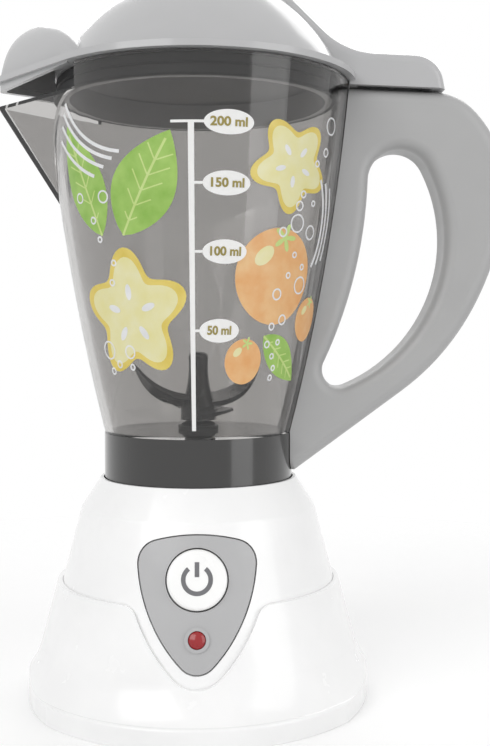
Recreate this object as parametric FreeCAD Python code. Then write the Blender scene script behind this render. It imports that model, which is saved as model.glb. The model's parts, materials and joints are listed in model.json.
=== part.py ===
import FreeCAD, Part
import cmath
import math
import os
from FreeCAD import Placement, Rotation, Vector

# Toy blender. Millimetres, +Z up, origin on the base's axis at floor level.
# The control panel faces -Y, the handle points to +X and the spout to -X.

# Fits and screw recesses
gap = 0.3
seat_gap = 0.1
running_gap = 0.05
press_gap = 0.02
recess_length = 2.6
recess_width = 0.5
recess_depth = 0.45

# Base, outside
split_height = 29.2
split_radius = 35.0
side_slope = math.radians(14.8)
shoulder_drop = 7.55
shoulder_round = 2.5
neck_rim = 0.7
lap_depth = 2.4
lower_shell_proud = 1.3
flare_top = 13.0
skirt_height = 5.0
skirt_flare = 3.11
skirt_round = 0.8
side_flat_depth = 2.2
side_relief_radius = 56.0
shell_wall = 1.8
skirt_wall = 2.4

# Base, inside
well_depth = 5.0
well_floor_wall = 1.8
spill_ring_height = 1.8
spill_ring_wall = 1.4
shaft_opening_radius = 4.2
cover_height = 1.0
cover_thickness = 2.4
cover_ledge = 1.8
pillar_radius = 3.2
pillar_x = 20.5
pillar_clearance = 0.85
pillar_boss_wall = 0.8
pillar_boss_height = 2.1
screw_radius = 1.25
screw_head_radius = 2.7
screw_head_height = 1.8
screw_length = 10.0
screw_web = 1.5

# Control panel, button and light
button_drop = 12.3
button_radius = 7.0
button_proud = 1.0
button_crown = 0.35
button_edge = 0.9
button_travel = 1.5
button_wall = 1.4
button_flange = 1.6
button_flange_depth = 4.5
button_flange_thickness = 1.1
stem_radius = 2.0
panel_shoulder_x = 8.2
panel_shoulder_rise = 3.1
panel_shoulder_radius = 5.5
panel_foot_drop = 15.5
panel_foot_radius = 5.0
panel_bulge_radius = 34.0
panel_thickness = 1.6
panel_backing = 1.4
panel_gap = 0.35
lobe_margin = 3.0
lobe_fillet = 3.5
light_drop = 13.1
lens_radius = 2.0
lens_dome = 0.7
lens_edge = 0.1
lens_flange = 0.6
lens_flange_thickness = 0.9
lens_seat_gap = 0.15
bezel_width = 0.8
bezel_height = 0.35
bezel_root = 1.44
led_radius = 1.5
led_foot_width = 0.4
led_foot_height = 0.8
board_depth = 13.0
board_thickness = 1.2
board_width = 24.0
board_above = 8.5
board_below = 19.5
board_post_x = 10.3
board_post_radius = 1.6
board_screw_radius = 0.8
board_screw_length = 6.0
board_screw_head = 1.5
board_screw_head_height = 1.0
chip_length = 5.0
chip_width = 4.0
chip_height = 1.4
chip_drop = 13.5
switch_size = 6.0
switch_height = 3.5
switch_plunger_radius = 1.6
switch_plunger_height = 0.6

# Battery bay
cell_radius = 7.25
cell_length = 50.5
cell_nub_radius = 2.7
cell_nub_length = 1.0
cell_spacing = 15.8
cell_lift = 0.5
contact_thickness = 0.4
contact_width = 10.0
contact_spring_length = 3.2
contact_spring_radius = 3.0
contact_wire_radius = 0.4
contact_spring_turns = 2
tray_wall = 1.2
tray_height = 9.0
tray_lip = 1.0
door_border = 1.3
door_thickness = 1.2
door_ear_length = 8.6
door_ear_width = 10.0
door_screw_radius = 1.2
door_screw_head = 2.4
door_screw_head_height = 0.6
door_screw_length = 4.5
door_boss_radius = 3.0
grip_rib_count = 5
grip_rib_pitch = 1.8
grip_rib_depth = 0.4
grip_rib_length = 12.0
grip_rib_start = 5.0

# Motor and drive
motor_clearance = 1.15
motor_radius = 10.05
motor_half_flat = 7.55
motor_length = 25.0
motor_drop = 0.9
motor_cap_length = 1.4
motor_cap_inset = 0.2
motor_nose_radius = 3.05
motor_nose_length = 1.4
motor_tail_length = 0.8
motor_shaft_radius = 1.0
motor_shaft_end = 2.5
bracket_thickness = 1.5
bracket_reach = 16.0
bracket_leg_width = 10.0
bracket_hook = 1.5
bracket_hook_height = 1.2
bracket_screw_x = 13.2
bracket_screw_radius = 1.0
bracket_screw_head = 2.0
bracket_screw_head_height = 1.3
bracket_screw_length = 3.6
bracket_boss_wall = 0.6
coupling_clearance = 0.5
coupling_core_radius = 4.6
coupling_lobe_radius = 1.5
coupling_lobe_circle = 4.9
coupling_lobes = 6
coupling_length = 8.0
coupling_cap = 1.0
coupling_gap = 0.35
cup_radius = 9.0
cup_engagement = 6.0
cup_web = 3.2
cup_clearance = 1.05

# Jug
jug_foot_radius = 24.1
jug_rim_radius = 38.6
jug_height = 88.4
jug_bulge = 1.72
jug_wall = 2.0
jug_floor = 2.0
jug_floor_rise = 0.6
jug_skirt_wall = 1.6
jug_skirt_length = 9.3
spout_overhang = 12.4
spout_tip_radius = 1.6
spout_drop = 5.6
spout_depth = 25.0
collar_proud = 0.1
collar_wall = 1.8

# Handle. Points are given as the distance beyond the jug's rim and the drop below it.
handle_width = 14.0
handle_round = 3.6
handle_gap = 0.15
handle_top = (21.9, 1.8)
handle_root_drop = 0.4
handle_curve = [(31.6, 6.0), (40.2, 29.8), (30.8, 59.0), (13.7, 78.0)]
handle_foot_drop = 9.8
opening_top = (3.65, 4.1)
opening_foot = (-11.0, 79.3)
opening_outer_bulge = 27.8
opening_inner_bulge = 6.35
opening_top_round = 8.0
opening_foot_round = 4.5
opening_round = 3.0
lug_length = 7.0
lug_half_height = 4.0
lug_half_width = 2.4
upper_lug_drop = 9.2
lower_lug_rise = 6.7
handle_screw_spots = [(18.4, 8.7), (32.7, 37.2), (-1.1, 83.2)]
handle_screw_radius = 1.2
handle_screw_head = 2.4
handle_screw_head_height = 1.6
handle_screw_sink = 3.0
handle_screw_length = 8.0

# Blade
bush_radius = 3.6
bush_flange_radius = 5.2
bush_flange_height = 1.0
seal_radius = 4.3
seal_height = 1.2
seal_lip_wall = 1.0
blade_shaft_radius = 2.0
hub_radius = 4.6
hub_skirt_height = 3.5
hub_waist_radius = 3.3
hub_waist_height = 7.35
hub_tip_radius = 2.6
hub_tip_round = 1.6
hub_height = 17.5
hub_cap = 3.9
blade_root_thickness = 1.5
blade_tip_thickness = 0.6
blade_half_width = 3.4
blade_tip_half_width = 1.7
blade_straight_length = 8.0
blade_tip_chamfer = 1.1
blade_tilt = 18.0
blade_turn = 20.0
high_blade_reach = 17.0
high_blade_rise = 9.5
high_blade_root = 5.0
low_blade_reach = 19.5
low_blade_rise = 1.0
low_blade_root = 2.2

# Lid
flange_overhang = 1.8
flange_thickness = 1.5
flange_tip_overhang = 0.8
flange_tip_radius = 2.2
dome_ledge = 4.1
dome_shift = 1.0
dome_top_inset = 1.2
dome_height = 19.7
dome_bulge = 1.6
lid_wall = 1.8
plug_clearance = 2.4
plug_wall = 1.7
plug_depth = 5.2
lid_seal_wall = 1.5
lid_seal_lip = 0.4
lid_seal_top_gap = 0.6
hood_tip_inset = 1.9
hood_half_length = 11.9
hood_height = 13.0
hood_half_width = 22.5
hood_inset = 1.0
hood_stations = [8, 30, 58, 90, 120, 150]
lip_depth = 2.2
lip_wall = 1.3
lip_inset = 1.1
lip_root = 0.3
lip_start_x = -30.0
tab_half_width = 8.0
tab_round = 2.2
tab_wall = 1.8
strap_head_run = 1.1
strap_head_rise = 0.9
tab_bend_run = 0.9
tab_bend_rise = 5.9
tab_bend_round = 20.0
tab_end_overhang = 23.9
tab_corner_run = 1.6
tab_corner_rise = 5.0
tab_corner_round = 7.5
cap_radius = 20.6
cap_thickness = 4.4
cap_edge_round = 1.4
cap_foot_chamfer = 0.5
cap_top_wall = 2.2
cap_plug_radius = 16.6
cap_plug_depth = 5.5
cap_plug_wall = 1.7
cap_seat_gap = 0.4

# Heights and radii that follow, from the floor up
skirt_radius = split_radius + (split_height - skirt_height) * math.tan(side_slope)
skirt_radius += lower_shell_proud + skirt_flare
side_half_width = skirt_radius - side_flat_depth
cover_top = cover_height + cover_thickness
pillar_foot = cover_top + pillar_boss_height
cell_base = cover_height + door_thickness + cell_lift
tray_half_length = (cell_length + contact_spring_length) / 2 + contact_thickness
tray_half_width = cell_spacing / 2 + cell_radius + gap
pillar_y = tray_half_width + tray_wall + pillar_boss_wall + pillar_radius + pillar_clearance
hook_bottom = cell_base + 2 * cell_radius + motor_clearance
motor_bottom = hook_bottom + bracket_hook_height + seat_gap + motor_cap_length
motor_top = motor_bottom + motor_length
bracket_top = motor_top + bracket_thickness
cavity_top = bracket_top + motor_drop
well_floor = cavity_top + well_floor_wall
neck_height = well_floor + well_depth
shoulder_height = neck_height - shoulder_drop
button_height = shoulder_height - button_drop
light_height = button_height - light_drop
panel_shoulder_z = button_height + panel_shoulder_rise
panel_foot_z = button_height - panel_foot_drop
drive_bottom = well_floor + spill_ring_height + coupling_clearance
drive_top = drive_bottom + coupling_length
cup_bottom = drive_top - cup_engagement
cup_socket_top = drive_top + 2 * gap
cup_top = cup_socket_top + cup_web
jug_floor_bottom = cup_top + cup_clearance
jug_bottom = jug_floor_bottom + jug_floor
jug_foot_height = jug_bottom - jug_floor_rise
jug_rim_height = jug_foot_height + jug_height
spout_rim_height = jug_rim_height - spout_drop
spout_foot_height = jug_rim_height - spout_drop - spout_depth
spout_reach = jug_rim_radius + spout_overhang
collar_radius = jug_foot_radius + collar_proud
collar_bottom = well_floor + gap
jug_skirt_radius = collar_radius - collar_wall
jug_skirt_bottom = jug_foot_height - jug_skirt_length
well_radius = collar_radius + gap
hub_bottom = jug_bottom + bush_flange_height + seal_height + gap
flange_bottom = jug_rim_height + gap
flange_top = flange_bottom + flange_thickness
flange_radius = jug_rim_radius + flange_overhang
flange_reach = spout_reach + flange_tip_overhang
dome_top = flange_top + dome_height
dome_foot_radius = flange_radius - dome_ledge
dome_top_radius = cap_radius - dome_top_inset
plug_radius = jug_rim_radius - jug_wall - plug_clearance
plug_bottom = flange_bottom - plug_depth
lid_seal_radius = plug_radius + seat_gap + lid_seal_wall
beyond = 2 * dome_top


def shell_radius(z):
    """Outside radius of the upper shell's cone at height z."""
    return split_radius + (split_height - z) * math.tan(side_slope)


def through(x, z):
    """Marks a point that the arc between the two corners beside it passes."""
    return ("through", x, z)


def rounded_corner(before, corner, after, radius):
    """Start, middle and end of the arc that rounds a corner between two straight lines."""
    here = complex(*corner[:2])
    to_before = complex(*before[:2]) - here
    to_after = complex(*after[:2]) - here
    to_before /= abs(to_before)
    to_after /= abs(to_after)
    half = abs(cmath.phase(to_after / to_before)) / 2
    bisector = (to_before + to_after) / abs(to_before + to_after)
    run = radius / math.tan(half)
    middle = here + bisector * (radius / math.sin(half) - radius)
    return here + to_before * run, middle, here + to_after * run


def bend(start, heading, end):
    """Middle of the arc that leaves start along heading and reaches end."""
    chord = complex(*end) - complex(*start)
    turn = cmath.phase(chord / complex(*heading))
    middle = complex(*start) + chord / 2 - 1j * chord * math.tan(turn / 2) / 2
    return through(middle.real, middle.imag)


def bowed(start, end, bulge):
    """Middle of the arc from start to end that stands bulge to the right of the chord."""
    chord = complex(*end) - complex(*start)
    middle = complex(*start) + chord / 2 - 1j * chord / abs(chord) * bulge
    return through(middle.real, middle.imag)


def quarter(x, z, radius):
    """Middle of the quarter round that ends under the corner (x, z)."""
    inset = radius * (1 - math.sqrt(0.5))
    return through(x - inset, z - inset)


def spot(point):
    """A complex number or a pair as a point of the XZ plane."""
    if isinstance(point, complex):
        return Vector(point.real, 0, point.imag)
    return Vector(point[0], 0, point[1])


def outline(*steps):
    """Closed face in the XZ plane from corners (x, z) or (x, z, round) and through points."""
    corners = []
    middles = {}
    for step in steps:
        if step[0] == "through":
            middles[len(corners) - 1] = step[1:]
        else:
            corners.append(step)
    edges = []
    joins = []
    for index, corner in enumerate(corners):
        if len(corner) == 3:
            before = corners[index - 1]
            after = corners[(index + 1) % len(corners)]
            start, middle, end = rounded_corner(before, corner, after, corner[2])
            joins.append((spot(start), spot(end)))
            edges.append(Part.Arc(spot(start), spot(middle), spot(end)).toShape())
        else:
            joins.append((spot(corner), spot(corner)))
    for index in range(len(corners)):
        leave = joins[index][1]
        arrive = joins[(index + 1) % len(corners)][0]
        if index in middles:
            edges.append(Part.Arc(leave, spot(middles[index]), arrive).toShape())
        elif leave.distanceToPoint(arrive) > 1e-6:
            edges.append(Part.LineSegment(leave, arrive).toShape())
    return Part.Face(Part.Wire(Part.__sortEdges__(edges)))


def turned(face):
    """Solid of revolution of a face in the XZ plane about the Z axis."""
    return face.revolve(Vector(0, 0, 0), Vector(0, 0, 1), 360)


def sheet_block(face, low_y, high_y):
    """Solid from a face in the XZ plane, drawn out along Y."""
    moved = face.copy()
    moved.translate(Vector(0, low_y, 0))
    return moved.extrude(Vector(0, high_y - low_y, 0))


def rod(radius, low, high, x=0, y=0):
    """Upright cylinder between two heights."""
    return Part.makeCylinder(radius, high - low, Vector(x, y, low))


def cross_rod(radius, low_y, high_y, x, z):
    """Cylinder along Y."""
    return Part.makeCylinder(radius, high_y - low_y, Vector(x, low_y, z), Vector(0, 1, 0))


def ring(outer, inner, low, high):
    """Upright tube between two heights."""
    return rod(outer, low, high).cut(rod(inner, low, high))


def block(x0, x1, y0, y1, z0, z1):
    """Box between two corners."""
    return Part.makeBox(x1 - x0, y1 - y0, z1 - z0, Vector(x0, y0, z0))


def plan_lean(big_radius, reach, tip_radius):
    """Angle at which the sides of a teardrop plan stand off the -X direction."""
    return math.acos((big_radius - tip_radius) / (reach - tip_radius))


def teardrop_face(big_radius, reach, tip_radius, z):
    """Plan outline of the jug: a circle drawn out to a rounded point at -X."""
    lean = plan_lean(big_radius, reach, tip_radius)
    side = Vector(-math.cos(lean), math.sin(lean), 0)
    other = Vector(-math.cos(lean), -math.sin(lean), 0)
    tip = Vector(tip_radius - reach, 0, 0)
    edges = [
        Part.Arc(side * big_radius, Vector(big_radius, 0, 0), other * big_radius).toShape(),
        Part.LineSegment(other * big_radius, tip + other * tip_radius).toShape(),
        Part.Arc(tip + other * tip_radius, Vector(-reach, 0, 0), tip + side * tip_radius).toShape(),
        Part.LineSegment(tip + side * tip_radius, side * big_radius).toShape(),
    ]
    face = Part.Face(Part.Wire(edges))
    face.translate(Vector(0, 0, z))
    return face


def lens_block(inset, low, high):
    """Prism between the two big side reliefs of the base, drawn in by inset."""
    radius = side_relief_radius - inset
    offset = side_relief_radius - side_half_width
    return rod(radius, low, high, x=offset).common(rod(radius, low, high, x=-offset))


def panel_face(grow):
    """Teardrop outline of the control panel, grown outwards by grow."""
    shoulder = complex(panel_shoulder_x, panel_shoulder_z)
    foot = complex(0, panel_foot_z)
    shoulder_radius = panel_shoulder_radius + grow
    foot_radius = panel_foot_radius + grow
    bulge = panel_bulge_radius + grow
    top_centre = shoulder.imag - math.sqrt((bulge - shoulder_radius) ** 2 - shoulder.real ** 2)
    top_centre = complex(0, top_centre)
    span = abs(shoulder - foot)
    near = bulge - shoulder_radius
    far = bulge - foot_radius
    along = (near ** 2 - far ** 2 + span ** 2) / (2 * span)
    across = math.sqrt(near ** 2 - along ** 2)
    direction = (foot - shoulder) / span
    side_centre = shoulder + direction * along - 1j * direction * across

    def pushed(centre, towards, radius):
        return towards + (towards - centre) / abs(towards - centre) * radius

    def mirrored(point):
        return complex(-point.real, point.imag)

    top = top_centre + 1j * bulge
    shoulder_start = pushed(top_centre, shoulder, shoulder_radius)
    shoulder_end = pushed(side_centre, shoulder, shoulder_radius)
    foot_start = pushed(side_centre, foot, foot_radius)
    side = (shoulder_end + foot_start) / 2 - side_centre
    side_middle = side_centre + side / abs(side) * bulge
    corner = (shoulder_start + shoulder_end) / 2 - shoulder
    corner_middle = shoulder + corner / abs(corner) * shoulder_radius
    runs = [
        (mirrored(shoulder_start), top, shoulder_start),
        (shoulder_start, corner_middle, shoulder_end),
        (shoulder_end, side_middle, foot_start),
        (foot_start, foot - 1j * foot_radius, mirrored(foot_start)),
        (mirrored(foot_start), mirrored(side_middle), mirrored(shoulder_end)),
        (mirrored(shoulder_end), mirrored(corner_middle), mirrored(shoulder_start)),
    ]
    edges = [Part.Arc(spot(a), spot(b), spot(c)).toShape() for a, b, c in runs]
    return Part.Face(Part.Wire(edges))


def panel_prism(grow):
    """Everything in front of the axis within the panel's outline, grown by grow."""
    return sheet_block(panel_face(grow), -beyond, 0)


def cone_layer(outer_inset, inner_inset, low, high):
    """Ring-shaped layer that follows the upper shell's cone."""
    return turned(outline(
        (shell_radius(low) - outer_inset, low),
        (shell_radius(high) - outer_inset, high),
        (shell_radius(high) - inner_inset, high),
        (shell_radius(low) - inner_inset, low)))


def on_panel(shape, height):
    """Turns a shape made about its own Z axis so that Z points out of the panel at height."""
    origin = Vector(0, -shell_radius(height), height)
    tilt = 90 - math.degrees(side_slope)
    shape.Placement = Placement(origin, Rotation(Vector(1, 0, 0), tilt))
    return shape


def panel_hole(radius, height):
    """Round hole square to the panel, from outside to well behind it."""
    length = 2 * board_depth
    return on_panel(Part.makeCylinder(radius, length, Vector(0, 0, -length / 2)), height)


def split_tool(grow):
    """Space above the split line, with the lobe that drops down at the front."""
    low = split_height - grow
    upper = block(-beyond, beyond, -beyond, beyond, low, beyond)
    front = block(-beyond, beyond, -beyond, 0, low, beyond)
    front = front.fuse(panel_prism(lobe_margin + grow)).removeSplitter()
    corners = []
    for edge in front.Edges:
        middle = edge.CenterOfMass
        inner = 0 < abs(middle.x) < beyond / 2
        if inner and abs(middle.z - low) < seat_gap and abs(middle.y + beyond / 2) < seat_gap:
            corners.append(edge)
    return front.makeFillet(lobe_fillet, corners).fuse(upper).removeSplitter()


def lower_shell_outside():
    """Flared outside of the lower shell, carried on past the split line."""
    high = split_height + lap_depth
    start = (shell_radius(flare_top) + lower_shell_proud, flare_top)
    end = (skirt_radius - skirt_round, skirt_height)
    heading = (math.sin(side_slope), -math.cos(side_slope))
    body = turned(outline(
        (0, 0),
        (0, high),
        (shell_radius(high) + lower_shell_proud, high),
        start,
        bend(start, heading, end),
        end,
        quarter(skirt_radius, skirt_height, skirt_round),
        (skirt_radius, skirt_height - skirt_round),
        (skirt_radius, 0)))
    return body.common(lens_block(0, 0, high))


def lower_shell_inside():
    """Hollow of the lower shell: the lap, the ledge and the seat of the bottom cover."""
    high = split_height + 2 * lap_depth
    ledge_radius = skirt_radius - skirt_wall - cover_ledge
    knee = panel_foot_z - panel_foot_radius - lobe_margin - lap_depth
    upper = turned(outline(
        (0, cover_top),
        (0, high),
        (shell_radius(high) + seat_gap, high),
        (shell_radius(knee) + seat_gap, knee),
        (ledge_radius, cover_top)))
    upper = upper.common(lens_block(skirt_wall + cover_ledge, cover_top, high))
    lower = rod(skirt_radius - skirt_wall, 0, cover_top)
    lower = lower.common(lens_block(skirt_wall, 0, cover_top))
    return upper.fuse(lower)


def make_lower_shell():
    shell = lower_shell_outside().cut(lower_shell_inside())
    return shell.cut(split_tool(0)).removeSplitter()


def upper_shell_outside():
    """Cone, shoulder and neck of the upper shell, carried on down behind the lower shell."""
    return turned(outline(
        (0, cover_top),
        (shell_radius(cover_top), cover_top),
        (shell_radius(shoulder_height), shoulder_height, shoulder_round),
        (well_radius + neck_rim, neck_height),
        (0, neck_height)))


def upper_shell_inside():
    """Hollow below the well."""
    knee = cavity_top - shell_wall
    return turned(outline(
        (0, cover_top),
        (shell_radius(cover_top) - shell_wall, cover_top),
        (shell_radius(knee) - shell_wall, knee),
        (shell_radius(knee) - 2 * shell_wall, cavity_top),
        (0, cavity_top)))


def screw_spots():
    """The four places where a screw holds the base together."""
    return [(side * pillar_x, end * pillar_y) for side in (-1, 1) for end in (-1, 1)]


def bracket_screw_rods(radius, low, high):
    """Upright cylinders at the two bracket screws."""
    left = rod(radius, low, high, -bracket_screw_x)
    return left.fuse(rod(radius, low, high, bracket_screw_x))


def board_screw_rods(radius, low, high):
    """Cylinders at the two board screws, along the panel's own axis."""
    left = Part.makeCylinder(radius, high - low, Vector(-board_post_x, 0, low))
    right = Part.makeCylinder(radius, high - low, Vector(board_post_x, 0, low))
    return on_panel(left, button_height).fuse(on_panel(right, button_height))


def panel_backing_plate():
    """Wall behind the panel, set back by the panel's thickness."""
    inset = panel_thickness + seat_gap + panel_backing
    plate = cone_layer(shell_wall - seat_gap, inset, cover_top, cavity_top)
    return plate.common(panel_prism(lobe_margin - lap_depth / 6))


def make_upper_shell():
    outside = upper_shell_outside()
    shell = outside.cut(upper_shell_inside()).common(split_tool(lap_depth))
    shell = shell.fuse(panel_backing_plate())
    for x, y in screw_spots():
        shell = shell.fuse(rod(pillar_radius, pillar_foot, shoulder_height, x, y).common(outside))
    posts = board_screw_rods(board_post_radius, -board_depth, -panel_thickness - panel_backing)
    shell = shell.fuse(posts.common(outside))
    boss_radius = bracket_screw_head + bracket_boss_wall
    shell = shell.fuse(bracket_screw_rods(boss_radius, bracket_top, well_floor))
    spill_radius = shaft_opening_radius + spill_ring_wall
    spill_top = well_floor + spill_ring_height
    shell = shell.fuse(rod(spill_radius, cavity_top, spill_top))
    shell = shell.cut(ring(well_radius, spill_radius, well_floor, beyond))
    shell = shell.cut(rod(well_radius, spill_top, beyond))
    shell = shell.cut(rod(shaft_opening_radius, cavity_top - well_floor_wall, beyond))
    pocket = cone_layer(-lower_shell_proud, panel_thickness + seat_gap, cover_top, shoulder_height)
    shell = shell.cut(pocket.common(panel_prism(panel_gap)))
    shell = shell.cut(panel_hole(button_radius + panel_gap, button_height))
    shell = shell.cut(panel_hole(lens_radius + lens_flange + gap, light_height))
    for x, y in screw_spots():
        shell = shell.cut(rod(screw_radius + press_gap, 0, pillar_foot + screw_length, x, y))
    shell = shell.cut(bracket_screw_rods(bracket_screw_radius + press_gap, motor_top,
                                         motor_top + bracket_screw_length + seat_gap))
    shell = shell.cut(board_screw_rods(board_screw_radius + press_gap,
                                       -board_depth - board_thickness,
                                       -board_depth + board_screw_length))
    return shell.removeSplitter()


def door_screw_x():
    """Where the battery door's screw sits in its ear."""
    return tray_half_length + door_border + door_ear_length - door_ear_width / 2


def door_shape(grow, low, high):
    """Battery door outline with its screw ear, grown by grow."""
    half_x = tray_half_length + door_border + grow
    half_y = tray_half_width + door_border + grow
    ear_y = door_ear_width / 2 + grow
    panel = block(-half_x, half_x, -half_y, half_y, low, high)
    ear = block(0, door_screw_x(), -ear_y, ear_y, low, high)
    ear = ear.fuse(rod(ear_y, low, high, door_screw_x()))
    return panel.fuse(ear).removeSplitter()


def make_bottom_cover():
    edge = skirt_wall + seat_gap
    cover = rod(skirt_radius - edge, cover_height, cover_top)
    cover = cover.common(lens_block(edge, cover_height, cover_top))
    tray_x = tray_half_length + tray_wall
    tray_y = tray_half_width + tray_wall
    tray_top = cover_top + tray_height
    cover = cover.fuse(block(-tray_x, tray_x, -tray_y, tray_y, cover_top, tray_top))
    for x, y in screw_spots():
        cover = cover.fuse(rod(pillar_radius + pillar_boss_wall, cover_top, pillar_foot, x, y))
    boss_top = cover_top + door_screw_length
    cover = cover.fuse(rod(door_boss_radius, cover_top, boss_top, door_screw_x()))
    cover = cover.cut(block(-tray_half_length, tray_half_length, -tray_half_width,
                            tray_half_width, cover_top, beyond))
    lip_x = tray_half_length - tray_lip
    cover = cover.cut(block(-lip_x, lip_x, -tray_half_width, tray_half_width, 0, beyond))
    cover = cover.cut(door_shape(gap, 0, cover_height + door_thickness + gap))
    for x, y in screw_spots():
        cover = cover.cut(rod(screw_head_radius + gap, 0, pillar_foot - screw_web, x, y))
        cover = cover.cut(rod(screw_radius + gap, 0, beyond, x, y))
    screw_hole_top = cover_height + door_screw_length + gap
    return cover.cut(rod(door_screw_radius + gap, 0, screw_hole_top, door_screw_x()))


def make_battery_door():
    door = door_shape(0, cover_height, cover_height + door_thickness)
    door = door.cut(rod(door_screw_radius + seat_gap, 0, cover_top, door_screw_x()))
    for index in range(grip_rib_count):
        rib_x = grip_rib_start - tray_half_length + index * grip_rib_pitch
        groove = block(rib_x, rib_x + grip_rib_pitch / 2, -grip_rib_length / 2,
                       grip_rib_length / 2, cover_height, cover_height + grip_rib_depth)
        door = door.cut(groove)
    return door


def cross_recess(x, y, z):
    """Crossed recess for a screwdriver in a head that faces down at z."""
    long_half = recess_length / 2
    short_half = recess_width / 2
    low = z - recess_depth
    high = z + recess_depth
    long_way = block(x - long_half, x + long_half, y - short_half, y + short_half, low, high)
    short_way = block(x - short_half, x + short_half, y - long_half, y + long_half, low, high)
    return long_way.fuse(short_way)


def screw_up(radius, length, head_radius, head_height, x, y, head_bottom):
    """Screw that points up from a flat head at head_bottom."""
    head = rod(head_radius, head_bottom, head_bottom + head_height, x, y)
    shank = rod(radius, head_bottom, head_bottom + length, x, y)
    return head.fuse(shank).cut(cross_recess(x, y, head_bottom))


def make_door_screw():
    return screw_up(door_screw_radius, door_screw_length + door_screw_head_height,
                    door_screw_head, door_screw_head_height, door_screw_x(), 0,
                    cover_height - door_screw_head_height)


def make_shell_screws():
    head_bottom = pillar_foot - screw_web - screw_head_height
    return [screw_up(screw_radius, screw_length, screw_head_radius, screw_head_height,
                     x, y, head_bottom) for x, y in screw_spots()]


def make_motor_screws():
    head_bottom = motor_top - bracket_screw_head_height
    length = bracket_screw_head_height + bracket_screw_length
    return [screw_up(bracket_screw_radius, length, bracket_screw_head, bracket_screw_head_height,
                     side * bracket_screw_x, 0, head_bottom) for side in (-1, 1)]


def make_control_panel():
    panel = cone_layer(0, panel_thickness, cover_top, shoulder_height)
    panel = panel.common(panel_prism(0))
    bezel = Part.makeCylinder(lens_radius + seat_gap + bezel_width, bezel_root + bezel_height,
                              Vector(0, 0, -bezel_root))
    panel = panel.fuse(on_panel(bezel, light_height))
    panel = panel.cut(panel_hole(button_radius + panel_gap, button_height))
    return panel.cut(panel_hole(lens_radius + seat_gap, light_height))


def stem_end():
    """Depth of the button stem's end, which stops just short of the switch when pressed."""
    plunger_top = -board_depth + switch_height + switch_plunger_height
    return plunger_top + button_travel + gap


def make_power_button():
    bore = button_radius - button_wall
    flange_top_z = -button_flange_depth
    flange_bottom_z = flange_top_z - button_flange_thickness
    crown = (0, button_proud + button_crown)
    crown_edge = (button_radius - button_edge, button_proud)
    profile = outline(
        crown,
        bend(crown, (1, 0), crown_edge),
        crown_edge,
        quarter(button_radius, button_proud, button_edge),
        (button_radius, button_proud - button_edge),
        (button_radius, flange_top_z),
        (button_radius + button_flange, flange_top_z),
        (button_radius + button_flange, flange_bottom_z),
        (bore, flange_bottom_z),
        (bore, button_proud - button_wall),
        (stem_radius, button_proud - button_wall),
        (stem_radius, stem_end()),
        (0, stem_end()))
    return on_panel(turned(profile), button_height)


def make_circuit_board():
    board = Part.makeBox(board_width, board_above + board_below, board_thickness,
                         Vector(-board_width / 2, -board_below, -board_depth - board_thickness))
    chip = Part.makeBox(chip_length, chip_width, chip_height,
                        Vector(chip_length - 1, -chip_drop, -board_depth))
    board = on_panel(board.fuse(chip), button_height)
    return board.cut(board_screw_rods(board_screw_radius + seat_gap,
                                      -board_depth - 2 * board_thickness, -board_depth))


def make_board_screws():
    back = -board_depth - board_thickness
    head_bottom = back - board_screw_head_height
    heads = board_screw_rods(board_screw_head, head_bottom, back)
    shanks = board_screw_rods(board_screw_radius, head_bottom, head_bottom + board_screw_length)
    return heads.fuse(shanks).removeSplitter()


def make_button_switch():
    half = switch_size / 2
    top = -board_depth + switch_height
    body = Part.makeBox(switch_size, switch_size, switch_height, Vector(-half, -half, -board_depth))
    plunger = Part.makeCylinder(switch_plunger_radius, switch_plunger_height, Vector(0, 0, top))
    return on_panel(body.fuse(plunger), button_height)


def lens_back():
    """Depth of the back of the red lens."""
    return -panel_thickness - lens_seat_gap - lens_flange_thickness


def make_indicator_lens():
    crown = (0, lens_dome)
    edge = (lens_radius, lens_edge)
    flange_front = lens_back() + lens_flange_thickness
    profile = outline(
        crown,
        bend(crown, (1, 0), edge),
        edge,
        (lens_radius, flange_front),
        (lens_radius + lens_flange, flange_front),
        (lens_radius + lens_flange, lens_back()),
        (0, lens_back()))
    return on_panel(turned(profile), light_height)


def make_status_led():
    shoulder = lens_back() - gap - led_radius
    body = Part.makeCylinder(led_radius, shoulder + board_depth, Vector(0, 0, -board_depth))
    dome = Part.makeSphere(led_radius, Vector(0, 0, shoulder))
    foot = Part.makeCylinder(led_radius + led_foot_width, led_foot_height,
                             Vector(0, 0, -board_depth))
    return on_panel(body.fuse(dome).fuse(foot), light_height)


def motor_section(grow, low, high):
    """Round motor body with two flats."""
    flat = motor_half_flat + grow
    body = rod(motor_radius + grow, low, high)
    return body.common(block(-beyond, beyond, -flat, flat, low, high))


def make_motor_can():
    can = motor_section(0, motor_bottom, motor_top)
    can = can.fuse(rod(motor_nose_radius, motor_top, motor_top + motor_nose_length))
    shaft_hole = rod(motor_shaft_radius + running_gap, motor_bottom + motor_shaft_end - gap, beyond)
    return can.cut(shaft_hole)


def make_motor_end_cap():
    cap_bottom = motor_bottom - motor_cap_length
    cap = motor_section(-motor_cap_inset, cap_bottom, motor_bottom)
    return cap.fuse(rod(motor_nose_radius, cap_bottom - motor_tail_length, motor_bottom))


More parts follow.
